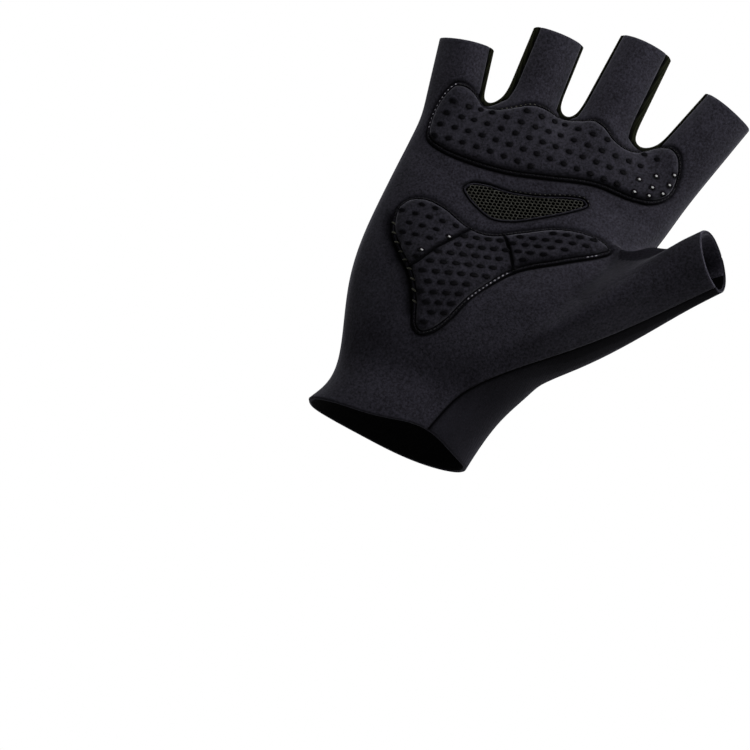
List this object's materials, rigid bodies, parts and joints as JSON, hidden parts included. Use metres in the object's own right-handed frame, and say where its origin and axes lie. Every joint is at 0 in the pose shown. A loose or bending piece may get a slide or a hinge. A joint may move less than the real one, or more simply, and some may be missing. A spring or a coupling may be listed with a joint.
{
  "type": "fingerless fitness glove",
  "caption": "Fingerless fitness glove for a right hand in its worn shape: suede palm with padded grip overlays and a net vent, stretch back, open finger and thumb ends.",
  "frame": {"origin": "middle of the wrist opening, at the height of its hem", "axes": "+Z along the hand to the fingers, +X to the thumb, the palm faces -Y"},
  "size_m": [0.1247, 0.057, 0.1651],
  "materials": {
    "palm_suede": "matt micro-suede with a fine nap",
    "back_knit": "smooth matt stretch knit",
    "side_stretch": "ribbed stretch strip, olive black",
    "pad_suede": "padded micro-suede",
    "grip_dots": "glossy raised silicone dots",
    "vent_net": "open net, grey olive",
    "tab_suede": "grainy micro-suede",
    "thread": "sewing thread"
  },
  "bodies": {
    "root": {"palm_panel": "palm_suede", "back_panel": "back_knit", "fourchette_little_ring": "side_stretch", "fourchette_ring_middle": "side_stretch", "fourchette_middle_index": "side_stretch", "knuckle_pad": "pad_suede", "heel_pad_ulnar": "pad_suede", "heel_pad_centre": "pad_suede", "heel_pad_radial": "pad_suede", "mesh_vent": "vent_net", "pull_tab_middle": "tab_suede", "pull_tab_ring": "tab_suede"}
  },
  "joints": []
}
